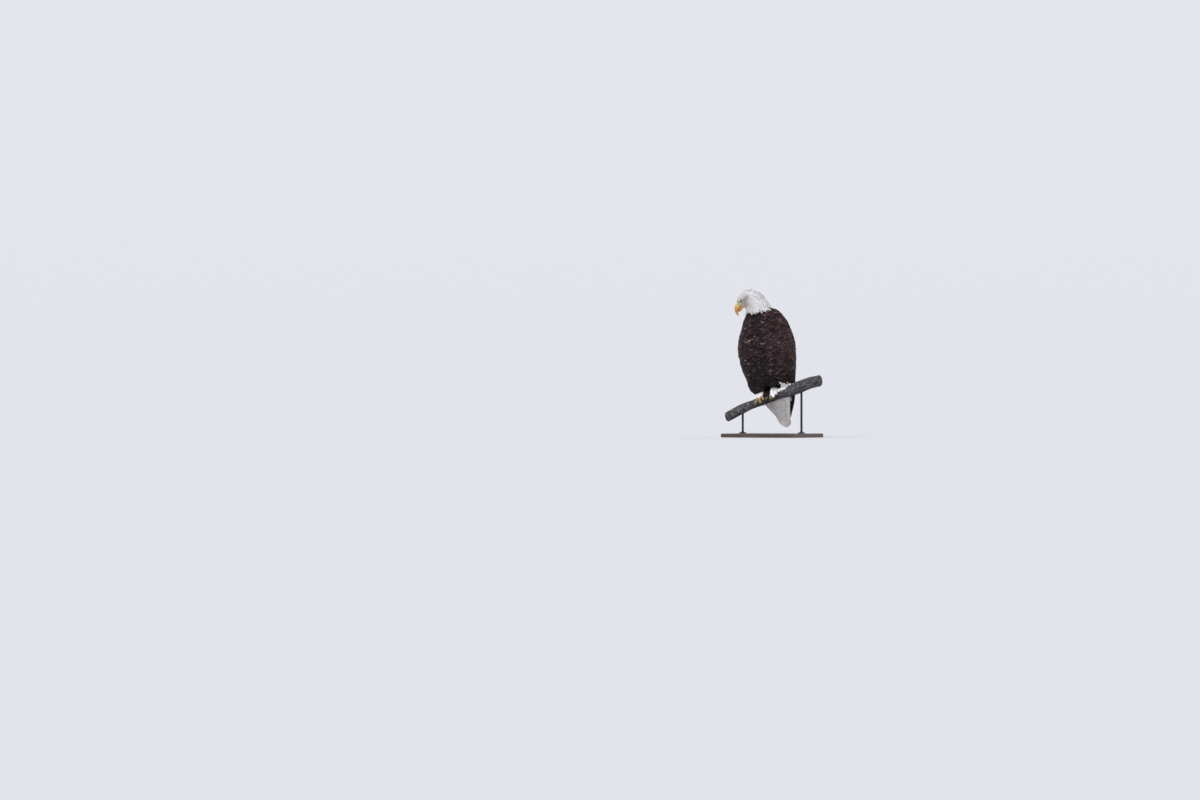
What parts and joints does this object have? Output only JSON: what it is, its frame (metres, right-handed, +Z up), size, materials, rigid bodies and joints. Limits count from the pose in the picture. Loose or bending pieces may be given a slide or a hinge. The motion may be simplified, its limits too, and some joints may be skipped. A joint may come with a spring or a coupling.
{
  "type": "bald eagle perched on a branch, still display model",
  "caption": "Life-size still model of an adult bald eagle perched on a short cut branch, head turned and looking down, on a plain display stand.",
  "frame": {"origin": "middle of the stand's underside", "axes": "+Z up, -Y the way the breast faces, +X towards the eagle's left"},
  "size_m": [0.5831, 0.3775, 0.8157],
  "materials": {
    "brown_plumage": "matt, soft contour feathers",
    "wing_feathers": "satin flight feathers and coverts",
    "white_plumage": "matt, soft feathers",
    "tail_feathers": "satin flight feathers",
    "bill_horn": "smooth horn",
    "cere": "waxy skin",
    "eye": "wet and glossy",
    "scaled_foot": "scaled skin",
    "talon_horn": "smooth black horn",
    "bark": "rough bark",
    "stained_wood": "satin dark stain",
    "black_rod": "satin black"
  },
  "bodies": {
    "root": {"bill_lower": "bill_horn", "bill_upper": "bill_horn", "cere": "cere", "eye_left": "eye", "eye_right": "eye", "foot_left": "scaled_foot", "foot_right": "scaled_foot", "head": "white_plumage", "neck": "white_plumage", "perch": "bark", "stand_base": "stained_wood", "stand_rod_left": "black_rod", "stand_rod_right": "black_rod", "tail": "tail_feathers", "talon_left_hind": "talon_horn", "talon_left_inner": "talon_horn", "talon_left_middle": "talon_horn", "talon_left_outer": "talon_horn", "talon_right_hind": "talon_horn", "talon_right_inner": "talon_horn", "talon_right_middle": "talon_horn", "talon_right_outer": "talon_horn", "thigh_left": "brown_plumage", "thigh_right": "brown_plumage", "trunk": "brown_plumage", "vent": "white_plumage", "wing_left_coverts": "wing_feathers", "wing_left_primaries": "wing_feathers", "wing_left_secondaries": "wing_feathers", "wing_right_coverts": "wing_feathers", "wing_right_primaries": "wing_feathers", "wing_right_secondaries": "wing_feathers"}
  },
  "joints": []
}
